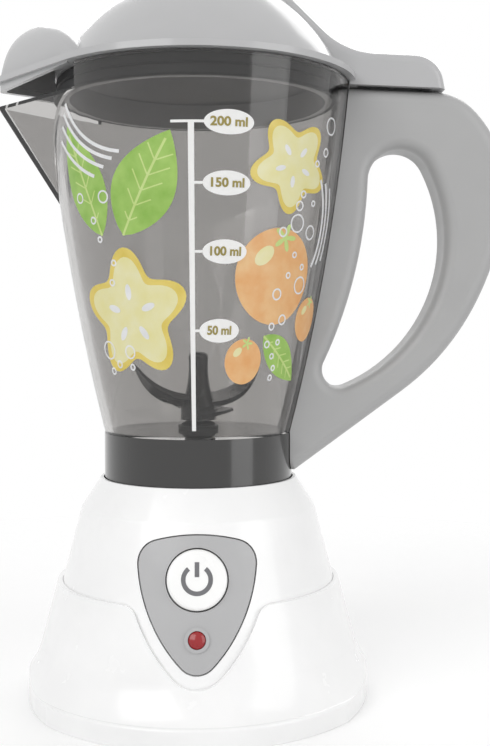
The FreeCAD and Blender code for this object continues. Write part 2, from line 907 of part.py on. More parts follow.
def make_motor_bracket():
    leg_inner = motor_half_flat + seat_gap
    leg_outer = leg_inner + bracket_thickness
    hook_inner = leg_inner - bracket_hook
    half = bracket_leg_width / 2
    hook_top = hook_bottom + bracket_hook_height
    plate = block(-bracket_reach, bracket_reach, -leg_outer, leg_outer, motor_top, bracket_top)
    plate = plate.common(rod(bracket_reach, motor_top, bracket_top))
    legs = block(-half, half, -leg_outer, leg_outer, hook_bottom, bracket_top)
    legs = legs.cut(block(-half, half, -leg_inner, leg_inner, hook_top, motor_top))
    legs = legs.cut(block(-half, half, -hook_inner, hook_inner, hook_bottom, hook_top))
    bracket = plate.fuse(legs)
    bracket = bracket.cut(rod(motor_nose_radius + seat_gap, motor_top, bracket_top))
    holes = bracket_screw_rods(bracket_screw_radius + seat_gap, motor_top, bracket_top)
    return bracket.cut(holes).removeSplitter()


def make_motor_shaft():
    return rod(motor_shaft_radius, motor_bottom + motor_shaft_end, drive_top - coupling_cap - gap)


def star_section(grow, low, high):
    """Round core with lobes, the section of the drive coupling and its socket."""
    star = rod(coupling_core_radius + grow, low, high)
    for index in range(coupling_lobes):
        angle = 2 * math.pi * index / coupling_lobes
        star = star.fuse(rod(coupling_lobe_radius + grow, low, high,
                             coupling_lobe_circle * math.cos(angle),
                             coupling_lobe_circle * math.sin(angle)))
    return star.removeSplitter()


def make_drive_coupling():
    coupling = star_section(0, drive_bottom, drive_top)
    bore = rod(motor_shaft_radius + press_gap, drive_bottom, drive_top - coupling_cap)
    return coupling.cut(bore)


def make_driven_coupling():
    cup = rod(cup_radius, cup_bottom, cup_top)
    cup = cup.cut(star_section(coupling_gap, cup_bottom, cup_socket_top))
    return cup.cut(rod(blade_shaft_radius + press_gap, cup_socket_top + coupling_clearance, cup_top))


def make_battery_cells():
    cells = []
    for side in (-1, 1):
        start = Vector(-side * (cell_length - contact_spring_length) / 2,
                       side * cell_spacing / 2, cell_base + cell_radius)
        along = Vector(side, 0, 0)
        body = Part.makeCylinder(cell_radius, cell_length - cell_nub_length, start, along)
        cells.append(body.fuse(Part.makeCylinder(cell_nub_radius, cell_length, start, along)))
    return cells


def coil_path(radius, length, turns):
    """Helix about the X axis from half-turn arcs."""
    def point(turn):
        angle = 2 * math.pi * turn
        return Vector(length * turn / turns, radius * math.cos(angle), radius * math.sin(angle))
    edges = []
    for half in range(2 * turns):
        start = half / 2
        edges.append(Part.Arc(point(start), point(start + 0.25), point(start + 0.5)).toShape())
    return Part.Wire(edges)


def make_battery_springs():
    length = contact_spring_length - 2 * contact_wire_radius - 2 * seat_gap
    path = coil_path(contact_spring_radius, length, contact_spring_turns)
    first = path.Edges[0]
    section = Part.Wire(Part.makeCircle(contact_wire_radius, first.valueAt(first.FirstParameter),
                                        first.tangentAt(first.FirstParameter)))
    spring = path.makePipeShell([section], True, False)
    near = tray_half_length - contact_thickness - contact_wire_radius - seat_gap
    springs = []
    for side in (-1, 1):
        placed = spring.copy()
        spring_start = Vector(-side * near, side * cell_spacing / 2, cell_base + cell_radius)
        turn = 0 if side > 0 else 180
        placed.Placement = Placement(spring_start, Rotation(Vector(0, 0, 1), turn))
        springs.append(placed)
    return springs


def make_battery_contacts():
    contacts = []
    top = cell_base + cell_radius + contact_width / 2
    for end in (-1, 1):
        x0, x1 = sorted((end * tray_half_length, end * (tray_half_length - contact_thickness)))
        for side in (-1, 1):
            y = side * cell_spacing / 2
            contacts.append(block(x0, x1, y - contact_width / 2, y + contact_width / 2,
                                  cover_top, top))
    return contacts


def jug_profile_radius(z):
    """Outside radius of the jug's wall at height z, along its arc."""
    foot = complex(jug_foot_radius, jug_foot_height)
    rim = complex(jug_rim_radius, jug_rim_height)
    chord = rim - foot
    radius = (abs(chord) ** 2 / 4 + jug_bulge ** 2) / (2 * jug_bulge)
    centre = (foot + rim) / 2 + 1j * chord / abs(chord) * (radius - jug_bulge)
    return centre.real + math.sqrt(radius ** 2 - (z - centre.imag) ** 2)


def jug_body(inset, low, high):
    """Round body of the jug between two heights, drawn in by inset."""
    foot = (jug_foot_radius - inset, jug_foot_height)
    rim = (jug_rim_radius - inset, jug_rim_height)
    body = turned(outline(
        (0, jug_foot_height),
        foot,
        bowed(foot, rim, jug_bulge),
        rim,
        (rim[0], beyond),
        (0, beyond)))
    return body.common(rod(beyond, low, high))


def spout_body(inset):
    """Prow of the spout, a slanted cone on a teardrop plan, drawn in by inset."""
    rim_radius = jug_profile_radius(spout_rim_height)
    scale = (rim_radius - inset) / rim_radius
    face = teardrop_face(rim_radius - inset, spout_reach * scale, spout_tip_radius * scale,
                         spout_rim_height)
    foot_x = jug_profile_radius(spout_foot_height) - inset
    foot = Part.Vertex(Vector(-foot_x, 0, spout_foot_height))
    return Part.makeLoft([foot, face.OuterWire], True, True), face


def lug_blocks(grow):
    """Lugs on the jug's wall that the handle closes round."""
    lugs = []
    half_y = lug_half_width + grow
    half_z = lug_half_height + grow
    for height in (jug_rim_height - upper_lug_drop, jug_foot_height + lower_lug_rise):
        wall = jug_profile_radius(height)
        lugs.append(block(wall - jug_wall / 2, wall + lug_length + grow, -half_y, half_y,
                          height - half_z, height + half_z))
    return lugs[0].fuse(lugs[1])


def make_jug():
    prow, mouth = spout_body(0)
    outside = jug_body(0, jug_foot_height, jug_rim_height).fuse(prow).fuse(lug_blocks(0))
    outside = outside.fuse(rod(jug_skirt_radius, jug_floor_bottom, jug_foot_height))
    notch_x = -jug_profile_radius(spout_rim_height) ** 2 / spout_reach
    notch = block(-beyond, notch_x, -beyond, beyond, spout_rim_height, beyond)
    prow, mouth = spout_body(jug_wall)
    inside = jug_body(jug_wall, jug_bottom, beyond).fuse(prow)
    inside = inside.fuse(mouth.extrude(Vector(0, 0, beyond)))
    jug = outside.cut(notch).cut(inside)
    skirt_bore = jug_skirt_radius - jug_skirt_wall
    jug = jug.fuse(ring(jug_skirt_radius, skirt_bore, jug_skirt_bottom, jug_foot_height))
    return jug.cut(rod(bush_radius + press_gap, jug_skirt_bottom, beyond)).removeSplitter()


def make_jug_collar():
    bore = jug_skirt_radius - jug_skirt_wall
    collar = ring(collar_radius, bore, collar_bottom, jug_foot_height)
    return collar.cut(rod(jug_skirt_radius + seat_gap, jug_skirt_bottom - seat_gap, beyond))


def beyond_rim(point):
    """A point given as the distance beyond the jug's rim and the drop below it."""
    return (jug_rim_radius + point[0], jug_rim_height - point[1])


def handle_root():
    """Where the handle's flat top would meet the middle of the jug's foot."""
    return (collar_radius - handle_round, jug_rim_height - handle_root_drop)


def handle_top_line(x):
    """Height of the handle's flat top at x, carried on as a straight line."""
    root_x, root_z = handle_root()
    end_x, end_z = beyond_rim(handle_top)
    return root_z + (x - root_x) * (end_z - root_z) / (end_x - root_x)


def handle_side():
    """Side view of the handle without its opening: a flat top, then arcs that run on."""
    root = handle_root()
    point = beyond_rim(handle_top)
    steps = [root, point]
    heading = complex(*point) - complex(*root)
    for target in (beyond_rim(offset) for offset in handle_curve):
        chord = complex(*target) - complex(*point)
        steps += [bend(point, (heading.real, heading.imag), target), target]
        heading = (chord / abs(chord)) ** 2 / (heading / abs(heading))
        point = target
    foot_height = jug_foot_height - handle_foot_drop
    run = (foot_height - point[1]) / heading.imag
    steps += [(point[0] + heading.real * run, foot_height), (root[0], foot_height)]
    return outline(*steps)


def handle_opening():
    """The opening for the fingers, between two arcs with rounded ends."""
    top = beyond_rim(opening_top)
    foot = beyond_rim(opening_foot)
    hole = sheet_block(outline(top, bowed(top, foot, -opening_outer_bulge),
                               foot, bowed(foot, top, opening_inner_bulge)),
                       -handle_width, handle_width)
    for end, radius in ((top, opening_top_round), (foot, opening_foot_round)):
        corner = [edge for edge in hole.Edges
                  if edge.CenterOfMass.distanceToPoint(spot(end)) < seat_gap]
        hole = hole.makeFillet(radius, corner)
    return hole


def side_edges(shape, half_width):
    """Edges that lie flat in the two side faces of a shape."""
    return [edge for edge in shape.Edges
            if abs(abs(edge.CenterOfMass.y) - half_width) < 1e-3]


def handle_body():
    """Both halves of the handle in one, with the seat on the jug and the lugs' pockets."""
    half = handle_width / 2
    blank = sheet_block(handle_side(), -half, half)
    outer = [edge for edge in side_edges(blank, half)
             if edge.CenterOfMass.x > handle_root()[0] + seat_gap]
    blank = blank.makeFillet(handle_round, outer)
    hole = handle_opening()
    blank = blank.cut(hole)
    rims = [edge for edge in side_edges(blank, half)
            if Part.Vertex(edge.valueAt(edge.FirstParameter)).distToShape(hole)[0] < 1e-3]
    blank = blank.makeFillet(opening_round, rims)
    blank = blank.cut(jug_body(-handle_gap, jug_foot_height, jug_rim_height))
    blank = blank.cut(rod(collar_radius + handle_gap, well_floor, jug_foot_height))
    return blank.cut(lug_blocks(handle_gap))


def make_handle_front(handle):
    half = handle.common(block(0, beyond, -beyond, 0, 0, beyond))
    reach = handle_screw_sink + handle_screw_length - handle_screw_head_height - handle_width / 2
    for x, z in (beyond_rim(offset) for offset in handle_screw_spots):
        half = half.cut(cross_rod(handle_screw_radius + press_gap, -reach - gap, 0, x, z))
    return half


def make_handle_back(handle):
    half = handle.common(block(0, beyond, 0, beyond, 0, beyond))
    seat = handle_width / 2 - handle_screw_sink
    for x, z in (beyond_rim(offset) for offset in handle_screw_spots):
        half = half.cut(cross_rod(handle_screw_head + seat_gap, seat, handle_width, x, z))
        half = half.cut(cross_rod(handle_screw_radius + seat_gap, 0, seat, x, z))
    return half


def make_handle_screws():
    screws = []
    seat = handle_width / 2 - handle_screw_sink
    top = seat + handle_screw_head_height
    for x, z in (beyond_rim(offset) for offset in handle_screw_spots):
        head = cross_rod(handle_screw_head, seat, top, x, z)
        shank = cross_rod(handle_screw_radius, top - handle_screw_length, top, x, z)
        screw = head.fuse(shank)
        for half_x, half_z in ((recess_length / 2, recess_width / 2),
                               (recess_width / 2, recess_length / 2)):
            screw = screw.cut(block(x - half_x, x + half_x, top - recess_depth, top,
                                    z - half_z, z + half_z))
        screws.append(screw)
    return screws


def make_blade_bush():
    low = cup_top + 2 * gap
    high = jug_bottom + bush_flange_height
    bush = rod(bush_radius, low, jug_bottom).fuse(rod(bush_flange_radius, jug_bottom, high))
    return bush.cut(rod(blade_shaft_radius + running_gap, low, high))


def make_shaft_seal():
    bore = blade_shaft_radius + running_gap
    low = jug_bottom + bush_flange_height
    high = low + seal_height
    return turned(outline(
        (bore, low),
        (seal_radius, low),
        (seal_radius, low + seal_height / 2),
        (bore + seal_lip_wall, high),
        (bore, high)))


def make_blade_shaft():
    low = cup_socket_top + coupling_clearance + seat_gap
    return rod(blade_shaft_radius, low, hub_bottom + hub_height - hub_cap - seat_gap)


def blade_arm(reach, rise, root_height):
    """One blade along +X: a bent strip whose front edge sweeps round to a blunt tip."""
    root_half = blade_root_thickness / 2
    tip_half = blade_tip_thickness / 2
    low_root = (blade_shaft_radius, root_height - root_half)
    high_root = (blade_shaft_radius, root_height + root_half)
    low_tip = (reach, root_height + rise - tip_half)
    high_tip = (reach, root_height + rise + tip_half)
    strip = sheet_block(outline(low_root, bend(low_root, (1, 0), low_tip), low_tip, high_tip,
                                bend(high_root, (1, 0), high_tip), high_root),
                        -2 * blade_half_width, 2 * blade_half_width)
    sweep_start = (blade_straight_length, -blade_half_width)
    tip = (reach, blade_tip_half_width)
    plan = outline((0, -blade_half_width), sweep_start, bend(sweep_start, (1, 0), tip), tip,
                   (reach - blade_tip_chamfer, blade_tip_half_width + blade_tip_chamfer),
                   (0, blade_half_width))
    plan.rotate(Vector(0, 0, 0), Vector(1, 0, 0), -90)
    arm = strip.common(plan.extrude(Vector(0, 0, beyond)))
    arm.rotate(Vector(0, 0, root_height), Vector(1, 0, 0), blade_tilt)
    return arm


def make_blade_rotor():
    top = hub_bottom + hub_height
    neck = (hub_tip_radius, top - hub_tip_round)
    crown = (hub_tip_radius - hub_tip_round, top)
    rotor = turned(outline(
        (0, hub_bottom),
        (hub_radius, hub_bottom),
        (hub_radius, hub_bottom + hub_skirt_height),
        through(hub_waist_radius, hub_bottom + hub_waist_height),
        neck,
        bend(neck, (0, 1), crown),
        crown,
        (0, top)))
    blades = 2 * [(high_blade_reach, high_blade_rise, high_blade_root),
                  (low_blade_reach, low_blade_rise, low_blade_root)]
    for index, (reach, rise, root) in enumerate(blades):
        arm = blade_arm(reach, rise, hub_bottom + root)
        arm.rotate(Vector(0, 0, 0), Vector(0, 0, 1), blade_turn + 360 * index / len(blades))
        rotor = rotor.fuse(arm)
    return rotor.cut(rod(blade_shaft_radius + press_gap, hub_bottom, top - hub_cap)).removeSplitter()


def flange_plan(inset, z):
    """Plan of the lid's flange, with its sides drawn in by inset."""
    radius = flange_radius - inset
    lean = plan_lean(flange_radius, flange_reach, flange_tip_radius)
    reach = flange_tip_radius + (radius - flange_tip_radius) / math.cos(lean)
    return teardrop_face(radius, reach, flange_tip_radius, z)


def dome_block(inset, low):
    """The lid's dome from low upwards, drawn in by inset."""
    lean = (dome_foot_radius - dome_top_radius) / dome_height
    foot = (dome_foot_radius - inset * math.hypot(1, lean), flange_top)
    head = (foot[0] - lean * (dome_height - inset), dome_top - inset)
    dome = turned(outline((0, low), (foot[0], low), foot, bowed(foot, head, dome_bulge), head,
                          (0, head[1])))
    dome.translate(Vector(dome_shift, 0, 0))
    return dome


def hood_section(x, half_width, height, base):
    """Closed wire across the hood at x: half an ellipse on two short uprights."""
    stretch = FreeCAD.Matrix()
    stretch.scale(1, half_width, height)
    stretch.move(Vector(x, 0, flange_top))
    arc = Part.Arc(Vector(0, -1, 0), Vector(0, 0, 1), Vector(0, 1, 0)).toShape()
    arc = arc.transformGeometry(stretch)
    left = Vector(x, -half_width, flange_top)
    right = Vector(x, half_width, flange_top)
    left_foot = Vector(x, -half_width, base)
    right_foot = Vector(x, half_width, base)
    return Part.Wire([
        arc,
        Part.LineSegment(right, right_foot).toShape(),
        Part.LineSegment(right_foot, left_foot).toShape(),
        Part.LineSegment(left_foot, left).toShape()])


def hood_block(inset, base):
    """Hood over the spout, drawn in by inset: sections across it, lofted along X."""
    lean = plan_lean(flange_radius, flange_reach, flange_tip_radius)
    crest_x = hood_half_length + hood_tip_inset - flange_reach
    sections = []
    for station in hood_stations:
        turn = math.radians(station)
        x = crest_x - (hood_half_length - inset) * math.cos(turn)
        side = (flange_radius - hood_inset - inset + x * math.cos(lean)) / math.sin(lean)
        half_width = (side ** -4 + (hood_half_width - inset) ** -4) ** -0.25
        height = (hood_height - inset) * math.sin(turn)
        sections.append(hood_section(x, half_width, height, base))
    return Part.makeLoft(sections, True, False)


def make_tab():
    """Thumb tab with the strap that runs up the dome to the cap."""
    end_x = jug_rim_radius + tab_end_overhang
    root_x = cap_plug_radius
    head_z = dome_top + strap_head_rise
    bend_corner = (dome_foot_radius + tab_bend_run, flange_top + tab_bend_rise)
    end_corner = (end_x - tab_corner_run, flange_top + tab_corner_rise)
    tab = sheet_block(outline(
        (root_x, head_z),
        (cap_radius + gap + strap_head_run, head_z),
        (*bend_corner, tab_bend_round),
        (*end_corner, tab_corner_round),
        (end_x, handle_top_line(end_x) + gap),
        (root_x, handle_top_line(root_x) + gap)), -tab_half_width, tab_half_width)
    top_edges = [edge for edge in side_edges(tab, tab_half_width)
                 if edge.CenterOfMass.x > cap_radius + gap
                 and edge.CenterOfMass.z > handle_top_line(edge.CenterOfMass.x) + 2 * gap]
    tab = tab.makeFillet(tab_round, top_edges)
    tab = tab.cut(rod(jug_rim_radius + gap, 0, flange_bottom))
    pocket_half = tab_half_width - tab_wall
    pocket = sheet_block(outline(
        (bend_corner[0], bend_corner[1] - tab_wall),
        (end_corner[0] - tab_wall, end_corner[1] - tab_wall, tab_corner_round - tab_wall),
        (end_x - tab_wall, 0),
        (bend_corner[0], 0)), -pocket_half, pocket_half)
    return tab.cut(pocket.cut(rod(jug_rim_radius + gap + tab_wall, 0, beyond)))


def make_lip():
    """Skirt under the front of the lid that closes the notch over the spout."""
    low = flange_bottom - lip_depth
    outer = flange_plan(lip_inset, low).extrude(Vector(0, 0, lip_depth))
    inner = flange_plan(lip_inset + lip_wall, low).extrude(Vector(0, 0, lip_depth))
    wedge = outline((-flange_reach, low), (lip_start_x, flange_bottom - lip_root),
                    (lip_start_x, flange_bottom), (-flange_reach, flange_bottom))
    return outer.cut(inner).common(sheet_block(wedge, -flange_radius, flange_radius))


def make_lid():
    lid = flange_plan(0, flange_bottom).extrude(Vector(0, 0, flange_thickness))
    lid = lid.fuse(dome_block(0, flange_bottom))
    lid = lid.fuse(hood_block(0, flange_bottom + flange_thickness / 2))
    lid = lid.fuse(make_tab())
    lid = lid.fuse(ring(plug_radius, plug_radius - plug_wall, plug_bottom, flange_bottom))
    lid = lid.fuse(make_lip())
    hollow = dome_block(lid_wall, flange_top)
    hollow = hollow.fuse(rod(plug_radius - plug_wall, plug_bottom, flange_top + gap))
    lid = lid.cut(hollow)
    front = hood_block(lid_wall, flange_bottom - lip_depth)
    lid = lid.cut(front.cut(rod(lid_seal_radius + gap, 0, beyond)))
    lid = lid.cut(rod(cap_plug_radius + gap, plug_bottom, beyond))
    lid = lid.cut(rod(cap_radius + gap, dome_top, beyond))
    return lid.removeSplitter()


def make_lid_seal():
    inner = plug_radius + seat_gap
    groove = lid_seal_radius - lid_seal_lip
    middle = (plug_bottom + flange_bottom) / 2
    return turned(outline(
        (inner, plug_bottom),
        (groove, plug_bottom),
        (lid_seal_radius, plug_bottom + lid_seal_lip),
        (lid_seal_radius, middle - lid_seal_lip),
        (groove, middle),
        (lid_seal_radius, middle + lid_seal_lip),
        (lid_seal_radius, flange_bottom - lid_seal_top_gap),
        (groove, flange_bottom - seat_gap),
        (inner, flange_bottom - seat_gap)))


def make_lid_cap():
    low = dome_top + cap_seat_gap
    high = low + cap_thickness
    bore = cap_plug_radius - cap_plug_wall
    cap = turned(outline(
        (0, low),
        (cap_radius - cap_foot_chamfer, low),
        (cap_radius, low + cap_foot_chamfer),
        (cap_radius, high - cap_edge_round),
        quarter(cap_radius, high, cap_edge_round),
        (cap_radius - cap_edge_round, high),
        (0, high)))
    cap = cap.fuse(ring(cap_plug_radius, bore, low - cap_plug_depth, low))
    return cap.cut(rod(bore, low - cap_plug_depth, high - cap_top_wall)).removeSplitter()


def main():
    handle = handle_body()
    nodes = {
        "base_lower_shell": make_lower_shell(),
        "base_upper_shell": make_upper_shell(),
        "base_bottom_cover": make_bottom_cover(),
        "shell_screws": make_shell_screws(),
        "control_panel": make_control_panel(),
        "power_button": make_power_button(),
        "button_switch": make_button_switch(),
        "circuit_board": make_circuit_board(),
        "board_screws": make_board_screws(),
        "status_led": make_status_led(),
        "indicator_lens": make_indicator_lens(),
        "motor_can": make_motor_can(),
        "motor_end_cap": make_motor_end_cap(),
        "motor_bracket": make_motor_bracket(),
        "motor_screws": make_motor_screws(),
        "motor_shaft": make_motor_shaft(),
        "drive_coupling": make_drive_coupling(),
        "battery_cells": make_battery_cells(),
        "battery_springs": make_battery_springs(),
        "battery_contacts": make_battery_contacts(),
        "battery_door": make_battery_door(),
        "door_screw": make_door_screw(),
        "jug": make_jug(),
        "jug_collar": make_jug_collar(),
        "handle_front": make_handle_front(handle),
        "handle_back": make_handle_back(handle),
        "handle_screws": make_handle_screws(),
        "blade_bush": make_blade_bush(),
        "shaft_seal": make_shaft_seal(),
        "blade_rotor": make_blade_rotor(),
        "blade_shaft": make_blade_shaft(),
        "driven_coupling": make_driven_coupling(),
        "lid": make_lid(),
        "lid_seal": make_lid_seal(),
        "lid_cap": make_lid_cap(),
    }
    os.makedirs("parts", exist_ok=True)
    for name, made in nodes.items():
        shape = Part.makeCompound(made) if isinstance(made, list) else made
        shape.exportStep("parts/" + name + ".step")
        print(name, len(shape.Solids), round(shape.Volume, 1), shape.isValid())


main()
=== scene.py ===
import json
import math
import random

import bpy
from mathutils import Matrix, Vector
from mathutils.bvhtree import BVHTree


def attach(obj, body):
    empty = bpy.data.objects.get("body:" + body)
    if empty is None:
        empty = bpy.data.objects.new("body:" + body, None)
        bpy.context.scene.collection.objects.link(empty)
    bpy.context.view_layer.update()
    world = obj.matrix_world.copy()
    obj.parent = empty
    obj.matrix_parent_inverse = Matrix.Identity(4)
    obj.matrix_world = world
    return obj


MM = 0.001

# Noise scales, per metre
CLOUD_SCALE = 45.0
GLOSS_SCALE = 160.0
BRUSH_SCALE = 900.0
HAIRLINE_SCALE = 420.0
WAVE_SCALE = 38.0
INK_GRAIN_SCALE = 2600.0

# Relief of the materials as (depth, strength), and their other shared values
BRUSH_RELIEF = (0.01 * MM, 0.3)
WAVE_RELIEF = (0.006 * MM, 0.2)
INK_RELIEF = (0.01 * MM, 0.3)
GRAIN_STRENGTH = 0.35
PLASTIC_IOR = 1.49
CLEAR_IOR = 1.47
COAT_ROUGHNESS = 0.06
GLOSS_SPREAD = 0.15
METAL_GLOSS_SPREAD = 0.3
METAL_TONES = (0.9, 1.08)
HAIRLINE_STRETCH = (1.0, 1.0, 0.08)
HAIRLINE_ROUGHNESS = (0.015, 0.06)
HAIRLINE_RANGE = (0.45, 0.75)

# Camera, at the photograph's distance and angle
CAMERA_PLACE = (3.4 * MM, -280.1 * MM, 93.9 * MM)
CAMERA_PITCH = math.radians(-2.49)
CAMERA_YAW = math.radians(-1.78)
CAMERA_LENS = 52.07
SENSOR_WIDTH = 36.0
CAMERA_CLIP_START = 0.01

# Light: lamps are (name, place, size, power in watts)
WORLD_LEVEL = 0.62
LAMPS = [
    ("key", (-0.38, -0.52, 0.46), (0.50, 0.50), 1.95),
    ("fill", (0.52, -0.38, 0.22), (0.35, 0.60), 1.00),
    ("back", (0.10, 0.45, 0.50), (0.60, 0.30), 1.20),
]
LAMP_TARGET = (0.0, 0.0, 0.095)
FLOOR_RADIUS = 0.70
FLOOR_RINGS = 12
FLOOR_SIDES = 64
FLOOR_FADE = (0.10, 0.34)
FLOOR_DROP = 0.05 * MM
FLOOR_GLOW = 0.15
FLOOR_COLOR = (0.86, 0.86, 0.86, 1.0)
FLOOR_ROUGHNESS = 0.9

# Print on the jug: places are (along the wall from the front, height), in millimetres
WALL_REFERENCE_RADIUS = 33.0
WALL_CAST_START = 200.0
INK_THICKNESS = 0.03
INK_TRANSLUCENCY = 0.18
ART_LIFT = 0.04
LAYER_STEP = 0.04
SCALE_LIFT = 0.16
TEXT_LIFT = 0.24
SCALE_LINE_U = -1.0
SCALE_LINE_WIDTH = 1.25
SCALE_LINE_FOOT = 69.0
SCALE_BAR = (-5.1, 1.9)
SCALE_BAR_HEIGHT = 0.60
SCALE_MARKS = [("200 ml", 6.7, 139.6), ("150 ml", 6.5, 126.2),
               ("100 ml", 6.5, 110.9), ("50 ml", 5.8, 92.8)]
OVAL_HALF_WIDTH = 5.15
OVAL_HALF_HEIGHT = 2.75
TEXT_SIZE = 2.8
LETTER_WEIGHT = 0.085

# Motifs of the print: slices (along, height, radius, turn), leaves (foot, tip, half width),
# berries (along, height, radius), streaks (along, height, radii, first angle, last angle)
SLICES = [(-17.3, 96.5, 15.6, 0.35), (22.5, 131.3, 11.3, 0.9)]
LEAVES = [((-17.3, 114.8), (-5.2, 137.8), 7.4),
          ((-23.5, 115.0), (-32.0, 141.0), 6.0),
          ((18.5, 91.5), (33.0, 80.5), 4.2)]
BERRIES = [(20.5, 105.5, 11.3), (35.0, 95.5, 5.4), (13.0, 85.5, 5.4)]
STREAKS = [(-14.0, 152.0, (18.5, 20.3, 22.6, 25.4), 198, 262),
           (16.0, 118.0, (19.5, 21.3, 23.4), -30, 34)]
SLICE_LOBES = 5
RIND_DEPTH = 0.17
FLESH_DEPTH = 0.18
FLESH_SHARE = 0.86
SEED_PLACE_SHARE = 0.34
SEED_SHARE = 0.12
SEED_SLIMNESS = 0.45
GLEAM_PLACE = (-0.36, 0.42)
GLEAM_SIZE = (0.26, 0.16)
GLEAM_TURN = 0.7
CROWN_PLACE = (0.12, 0.80)
CROWN_SHARE = 0.30
CROWN_LOBES = 5
CROWN_DEPTH = 0.4
LEAF_SKEW = 0.85
LEAF_FULLNESS = 0.9
RIB_SHARE = 0.92
RIB_HALF_WIDTH = 0.28
VEIN_PAIRS = 5
VEIN_TURN = 0.8
VEIN_START = 0.4
VEIN_REACH = 0.72
VEIN_HALF_WIDTH = 0.16
STREAK_STEP = 5.0
STREAK_WIDTH = 0.8
BUBBLE_TRIES = 70
BUBBLE_HEIGHTS = (80.0, 146.0)
BUBBLE_OUTWARD = (23.0, 35.0)
BUBBLE_FOOT_SHARE = 0.78
BUBBLE_RADII = (0.6, 2.1)
BUBBLE_SPACING = 1.0
BUBBLE_STROKE = 0.4

# Power symbol on the button, in millimetres; the opening is half the gap, in degrees
SYMBOL_RADIUS = 3.15
SYMBOL_STROKE = 1.05
SYMBOL_OPENING = 38
SYMBOL_POINTS = 49
SYMBOL_BAR_LOW = 0.6
SYMBOL_BAR_HIGH = 4.0
SYMBOL_LIFT = 0.02
BUTTON_CROWN_DEPTH = 0.01
BUTTON_CAST_START = 5.0


def new_material(name):
    """A material with its node tree, its main shader and its object coordinates."""
    material = bpy.data.materials.new(name)
    material.use_nodes = True
    tree = material.node_tree
    shader = tree.nodes["Principled BSDF"]
    coordinates = tree.nodes.new("ShaderNodeTexCoord").outputs["Object"]
    return material, tree, shader, coordinates


def noise(tree, coordinates, scale, detail=3.0, stretch=(1.0, 1.0, 1.0)):
    """Noise value at a scale per metre, stretched along an axis if asked."""
    mapping = tree.nodes.new("ShaderNodeMapping")
    mapping.inputs["Scale"].default_value = stretch
    texture = tree.nodes.new("ShaderNodeTexNoise")
    texture.inputs["Scale"].default_value = scale
    texture.inputs["Detail"].default_value = detail
    tree.links.new(coordinates, mapping.inputs["Vector"])
    tree.links.new(mapping.outputs["Vector"], texture.inputs["Vector"])
    return texture.outputs["Fac"]


def spread(tree, value, low, high, start=0.3, end=0.7):
    """Maps a noise value onto a range."""
    node = tree.nodes.new("ShaderNodeMapRange")
    node.inputs["From Min"].default_value = start
    node.inputs["From Max"].default_value = end
    node.inputs["To Min"].default_value = low
    node.inputs["To Max"].default_value = high
    tree.links.new(value, node.inputs["Value"])
    return node.outputs["Result"]


def shade(color, factor):
    """A colour made lighter or darker, with its alpha."""
    return tuple(min(channel * factor, 1.0) for channel in color[:3]) + (1.0,)


def blend_colors(tree, value, first, second):
    """Colour that goes from first to second with a value."""
    node = tree.nodes.new("ShaderNodeMix")
    node.data_type = "RGBA"
    node.inputs["A"].default_value = first
    node.inputs["B"].default_value = second
    tree.links.new(value, node.inputs["Factor"])
    return node.outputs["Result"]


def add_bump(tree, shader, value, distance, strength):
    """Fine relief from a noise value."""
    node = tree.nodes.new("ShaderNodeBump")
    node.inputs["Strength"].default_value = strength
    node.inputs["Distance"].default_value = distance
    tree.links.new(value, node.inputs["Height"])
    tree.links.new(node.outputs["Normal"], shader.inputs["Normal"])


def moulded(name, color, roughness, coat=0.0, grain=1500.0, grain_depth=0.02, tone=0.03):
    """Moulded plastic: faint cloudiness in colour and gloss over a fine grain."""
    material, tree, shader, coordinates = new_material(name)
    cloud = noise(tree, coordinates, CLOUD_SCALE)
    mixed = blend_colors(tree, spread(tree, cloud, 0.0, 1.0),
                         shade(color, 1.0 - tone), shade(color, 1.0 + tone))
    tree.links.new(mixed, shader.inputs["Base Color"])
    gloss = noise(tree, coordinates, GLOSS_SCALE, detail=5.0)
    varied = spread(tree, gloss, roughness * (1 - GLOSS_SPREAD), roughness * (1 + GLOSS_SPREAD))
    tree.links.new(varied, shader.inputs["Roughness"])
    shader.inputs["Coat Weight"].default_value = coat
    shader.inputs["Coat Roughness"].default_value = COAT_ROUGHNESS
    shader.inputs["IOR"].default_value = PLASTIC_IOR
    relief = noise(tree, coordinates, grain, detail=4.0)
    add_bump(tree, shader, relief, grain_depth * MM, GRAIN_STRENGTH)
    return material


def brushed(name, color, roughness, stretch):
    """Plated or drawn metal with fine lines along one axis."""
    material, tree, shader, coordinates = new_material(name)
    lines = noise(tree, coordinates, BRUSH_SCALE, detail=4.0, stretch=stretch)
    mixed = blend_colors(tree, spread(tree, lines, 0.0, 1.0),
                         shade(color, METAL_TONES[0]), shade(color, METAL_TONES[1]))
    tree.links.new(mixed, shader.inputs["Base Color"])
    varied = spread(tree, lines, roughness * (1 - METAL_GLOSS_SPREAD),
                    roughness * (1 + METAL_GLOSS_SPREAD))
    tree.links.new(varied, shader.inputs["Roughness"])
    shader.inputs["Metallic"].default_value = 1.0
    add_bump(tree, shader, lines, *BRUSH_RELIEF)
    return material


